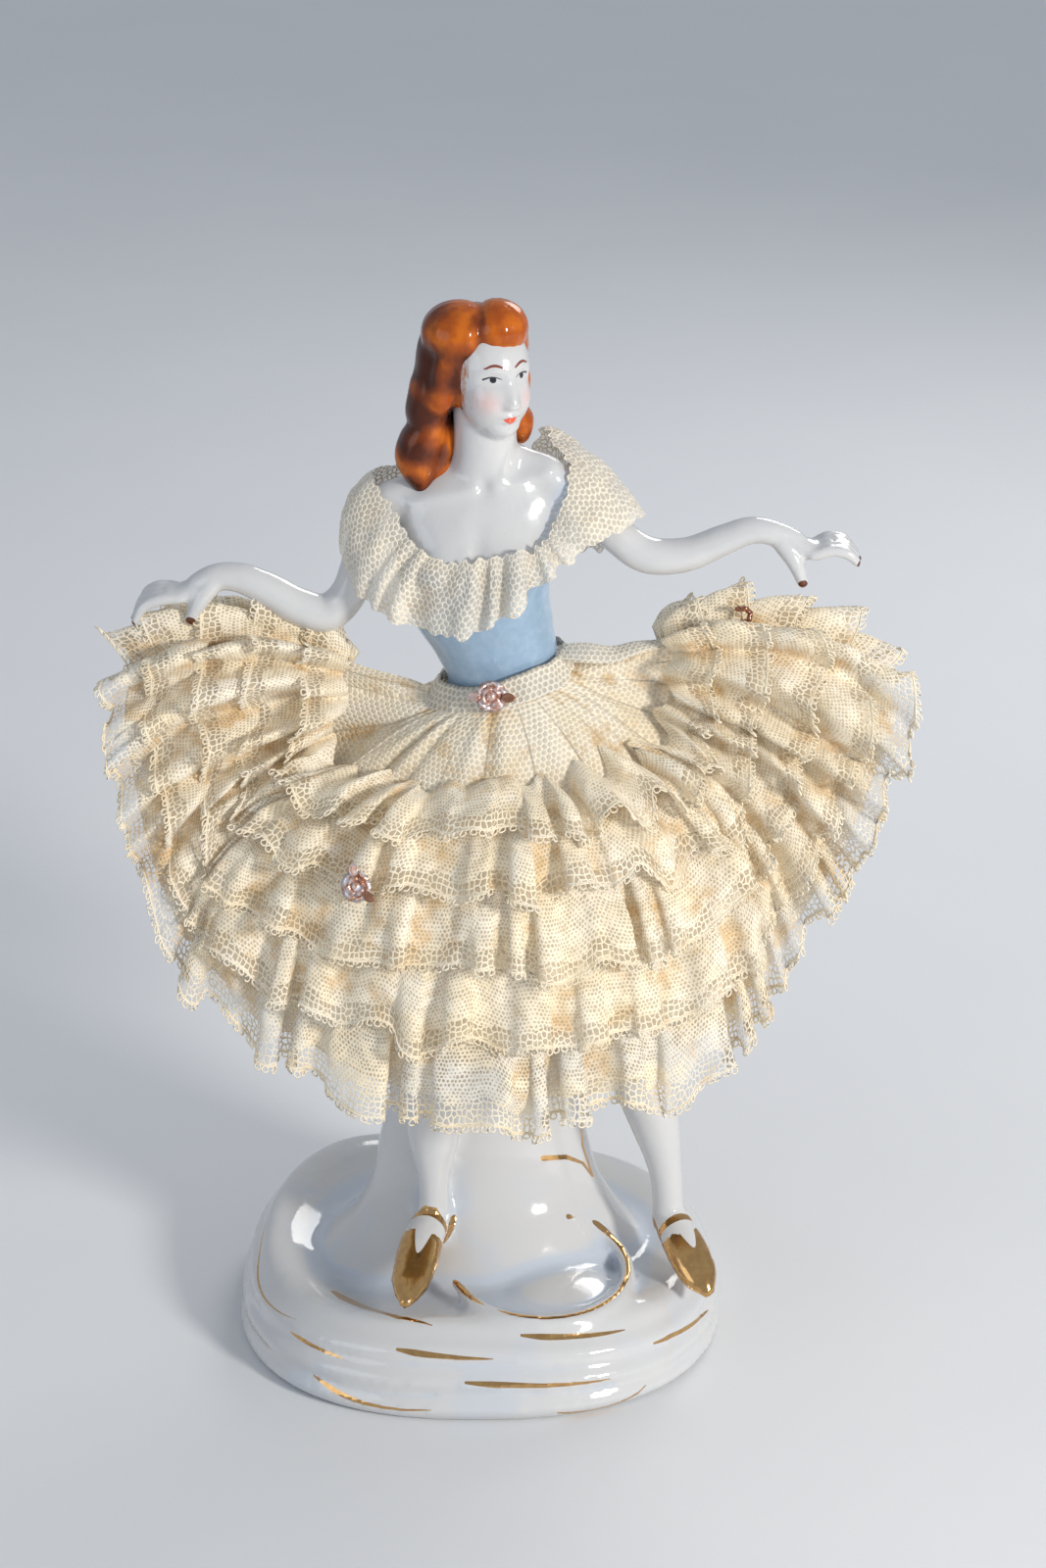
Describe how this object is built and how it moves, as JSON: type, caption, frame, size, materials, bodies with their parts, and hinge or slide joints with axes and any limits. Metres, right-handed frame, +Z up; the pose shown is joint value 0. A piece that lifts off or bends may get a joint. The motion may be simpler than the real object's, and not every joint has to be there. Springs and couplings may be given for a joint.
{
  "type": "lace-skirted dancer figurine",
  "caption": "Glazed porcelain dancer with raised arms, a net collar and a tiered lace skirt, on a flowing gilt-brushed base.",
  "frame": {"origin": "centre of the base's flat underside, where the figurine stands", "axes": "+Z up through the figure, -Y towards the front, +X towards the viewer's right hand seen from the front"},
  "size_m": [0.1447, 0.0898, 0.2022],
  "materials": {
    "porcelain": "gloss",
    "net": "matt",
    "lace": "matt",
    "lustre": "lustre gloss",
    "copper_lustre": "lustre gloss"
  },
  "bodies": {
    "root": {"porcelain_dancer": "porcelain", "net_underskirt": "net", "lace_flounce_1": "lace", "lace_flounce_2": "lace", "lace_flounce_3": "lace", "lace_flounce_4": "lace", "lace_flounce_5": "lace", "net_waistband": "net", "net_collar": "net", "waist_rose": "lustre", "skirt_rose": "lustre", "rose_remnant": "copper_lustre"}
  },
  "joints": []
}
